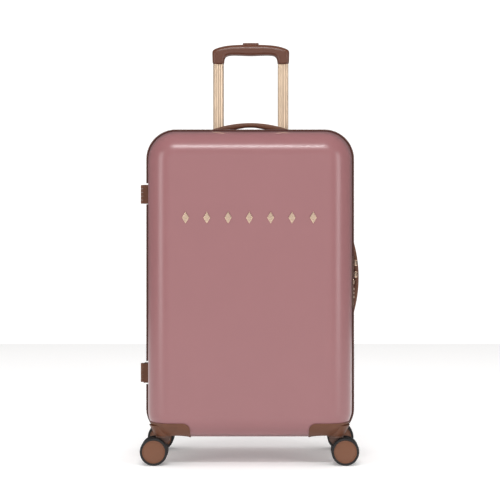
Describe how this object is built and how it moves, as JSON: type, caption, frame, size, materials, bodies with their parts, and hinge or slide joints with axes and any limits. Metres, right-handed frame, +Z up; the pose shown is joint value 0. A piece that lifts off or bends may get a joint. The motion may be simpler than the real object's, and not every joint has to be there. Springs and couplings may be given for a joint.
{
  "type": "hard shell suitcase",
  "caption": "Smooth two-shell hard suitcase with a zip seam, spring-back carry handles, telescoping trolley grip and twin-wheel swivel casters.",
  "frame": {"origin": "centre of the footprint, on the floor under the wheels", "axes": "+Z up, +Y from the front lid to the back, +X to the side with the lock and the side handle"},
  "size_m": [0.441, 0.2715, 0.845],
  "materials": {
    "shell": "satin moulded shell, dusty pink",
    "trim": "semi-matt brown leather-look trim",
    "grip": "satin brown moulded grip",
    "zip_tape": "dark brown woven zip tape with moulded chain",
    "tube": "satin champagne anodised",
    "gold": "satin champagne gold plating",
    "lock_body": "dark brown moulded lock case",
    "dial": "champagne dial ring",
    "steel": "zinc plated steel",
    "lining": "taupe woven lining",
    "strap": "brown woven webbing",
    "structure": "black moulded structural plastic",
    "wheel": "black tyre over a brown hub",
    "fork": "brown glass-filled nylon"
  },
  "bodies": {
    "base": {"rear_shell": "shell", "rear_zip_tape": "zip_tape", "rear_guard_left": "trim", "rear_guard_right": "trim", "rear_lining": "lining", "rear_straps": "strap", "rear_buckle": "structure", "trolley_bezel": "structure", "trolley_outer_tubes": "steel", "trolley_bracket": "structure", "trolley_cover": "structure", "top_handle_base": "trim", "side_handle_base": "trim", "hinge_base_leaves": "trim", "hinge_pins": "steel", "rear_caster_sockets": "structure", "rear_screws": "steel"},
    "lid": {"front_shell": "shell", "front_zip_tape": "zip_tape", "front_guard_left": "trim", "front_guard_right": "trim", "front_lining": "lining", "lid_divider": "lining", "hinge_lid_leaves": "trim", "lock_housing": "lock_body", "front_studs": "gold", "front_caster_sockets": "structure", "front_screws": "steel"},
    "trolley_middle": {"trolley_middle_tubes": "tube"},
    "trolley_top": {"trolley_inner_tubes": "tube", "trolley_grip": "grip"},
    "grip_release": {"grip_button": "grip", "release_rods": "steel"},
    "top_carry_handle": {"top_handle": "trim"},
    "side_carry_handle": {"side_handle": "trim"},
    "slider_upper": {"zip_slider_upper": "gold"},
    "pull_upper": {"zip_pull_upper": "gold"},
    "slider_lower": {"zip_slider_lower": "gold"},
    "pull_lower": {"zip_pull_lower": "gold"},
    "dial_1": {"lock_dial_1": "dial"},
    "dial_2": {"lock_dial_2": "dial"},
    "dial_3": {"lock_dial_3": "dial"},
    "release": {"lock_release": "gold"},
    "key_cylinder": {"lock_cylinder": "gold"},
    "caster_front_left": {"caster_fork_front_left": "fork", "caster_pins_front_left": "steel"},
    "inner_wheel_front_left": {"wheel_front_left_inner": "wheel"},
    "outer_wheel_front_left": {"wheel_front_left_outer": "wheel"},
    "caster_front_right": {"caster_fork_front_right": "fork", "caster_pins_front_right": "steel"},
    "inner_wheel_front_right": {"wheel_front_right_inner": "wheel"},
    "outer_wheel_front_right": {"wheel_front_right_outer": "wheel"},
    "caster_rear_left": {"caster_fork_rear_left": "fork", "caster_pins_rear_left": "steel"},
    "inner_wheel_rear_left": {"wheel_rear_left_inner": "wheel"},
    "outer_wheel_rear_left": {"wheel_rear_left_outer": "wheel"},
    "caster_rear_right": {"caster_fork_rear_right": "fork", "caster_pins_rear_right": "steel"},
    "inner_wheel_rear_right": {"wheel_rear_right_inner": "wheel"},
    "outer_wheel_rear_right": {"wheel_rear_right_outer": "wheel"}
  },
  "joints": [
    {"name": "lid_hinge", "type": "hinge", "parent": "base", "child": "lid", "pos_m": [-0.2152, 0, 0.35], "axis": [0, 0, -1], "range_deg": [0, 180]},
    {"name": "trolley_lower_stage", "type": "slide", "parent": "base", "child": "trolley_middle", "axis": [0, 0, 1], "range_m": [0, 0.2]},
    {"name": "trolley_upper_stage", "type": "slide", "parent": "trolley_middle", "child": "trolley_top", "axis": [0, 0, 1], "range_m": [-0.187, 0]},
    {"name": "grip_button_press", "type": "slide", "parent": "trolley_top", "child": "grip_release", "axis": [0, 0, -1], "range_m": [0, 0.004], "stiffness_N_per_m": 2500, "springref_m": -0.0006},
    {"name": "top_handle_pull", "type": "slide", "parent": "base", "child": "top_carry_handle", "axis": [0, 0, 1], "range_m": [0, 0.014], "stiffness_N_per_m": 300, "springref_m": -0.003},
    {"name": "side_handle_pull", "type": "slide", "parent": "base", "child": "side_carry_handle", "axis": [1, 0, 0], "range_m": [0, 0.014], "stiffness_N_per_m": 300, "springref_m": -0.003},
    {"name": "upper_slider_run", "type": "slide", "parent": "base", "child": "slider_upper", "axis": [0, 0, 1], "range_m": [0, 0.17]},
    {"name": "lower_slider_run", "type": "slide", "parent": "base", "child": "slider_lower", "axis": [0, 0, -1], "range_m": [0, 0.19]},
    {"name": "upper_pull_swing", "type": "hinge", "parent": "slider_upper", "child": "pull_upper", "pos_m": [0.2148, 0, 0.39], "axis": [0, 0, 1], "range_deg": [0, 110]},
    {"name": "lower_pull_swing", "type": "hinge", "parent": "slider_lower", "child": "pull_lower", "pos_m": [0.2148, 0, 0.3666], "axis": [0, 0, 1], "range_deg": [0, 110]},
    {"name": "lock_release_push", "type": "slide", "parent": "lid", "child": "release", "axis": [0, 0, -1], "range_m": [0, 0.004], "stiffness_N_per_m": 400, "springref_m": -0.0005},
    {"name": "lock_cylinder_turn", "type": "hinge", "parent": "lid", "child": "key_cylinder", "pos_m": [0.2, -0.018, 0.3095], "axis": [1, 0, 0], "range_deg": [0, 90]},
    {"name": "dial_1_turn", "type": "hinge", "parent": "lid", "child": "dial_1", "pos_m": [0.2028, -0.018, 0.322], "axis": [0, 0, 1], "continuous": true},
    {"name": "dial_2_turn", "type": "hinge", "parent": "lid", "child": "dial_2", "pos_m": [0.2028, -0.018, 0.33], "axis": [0, 0, 1], "continuous": true},
    {"name": "dial_3_turn", "type": "hinge", "parent": "lid", "child": "dial_3", "pos_m": [0.2028, -0.018, 0.338], "axis": [0, 0, 1], "continuous": true},
    {"name": "swivel_front_left", "type": "hinge", "parent": "lid", "child": "caster_front_left", "pos_m": [-0.168, -0.097, 0.06], "axis": [0, 0, 1], "continuous": true},
    {"name": "spin_front_left_inner", "type": "hinge", "parent": "caster_front_left", "child": "inner_wheel_front_left", "pos_m": [-0.186, -0.097, 0.027], "axis": [0, 1, 0], "continuous": true},
    {"name": "spin_front_left_outer", "type": "hinge", "parent": "caster_front_left", "child": "outer_wheel_front_left", "pos_m": [-0.186, -0.097, 0.027], "axis": [0, 1, 0], "continuous": true},
    {"name": "swivel_front_right", "type": "hinge", "parent": "lid", "child": "caster_front_right", "pos_m": [0.168, -0.097, 0.06], "axis": [0, 0, 1], "continuous": true},
    {"name": "spin_front_right_inner", "type": "hinge", "parent": "caster_front_right", "child": "inner_wheel_front_right", "pos_m": [0.186, -0.097, 0.027], "axis": [0, 1, 0], "continuous": true},
    {"name": "spin_front_right_outer", "type": "hinge", "parent": "caster_front_right", "child": "outer_wheel_front_right", "pos_m": [0.186, -0.097, 0.027], "axis": [0, 1, 0], "continuous": true},
    {"name": "swivel_rear_left", "type": "hinge", "parent": "base", "child": "caster_rear_left", "pos_m": [-0.168, 0.097, 0.06], "axis": [0, 0, 1], "continuous": true},
    {"name": "spin_rear_left_inner", "type": "hinge", "parent": "caster_rear_left", "child": "inner_wheel_rear_left", "pos_m": [-0.186, 0.097, 0.027], "axis": [0, 1, 0], "continuous": true},
    {"name": "spin_rear_left_outer", "type": "hinge", "parent": "caster_rear_left", "child": "outer_wheel_rear_left", "pos_m": [-0.186, 0.097, 0.027], "axis": [0, 1, 0], "continuous": true},
    {"name": "swivel_rear_right", "type": "hinge", "parent": "base", "child": "caster_rear_right", "pos_m": [0.168, 0.097, 0.06], "axis": [0, 0, 1], "continuous": true},
    {"name": "spin_rear_right_inner", "type": "hinge", "parent": "caster_rear_right", "child": "inner_wheel_rear_right", "pos_m": [0.186, 0.097, 0.027], "axis": [0, 1, 0], "continuous": true},
    {"name": "spin_rear_right_outer", "type": "hinge", "parent": "caster_rear_right", "child": "outer_wheel_rear_right", "pos_m": [0.186, 0.097, 0.027], "axis": [0, 1, 0], "continuous": true}
  ]
}
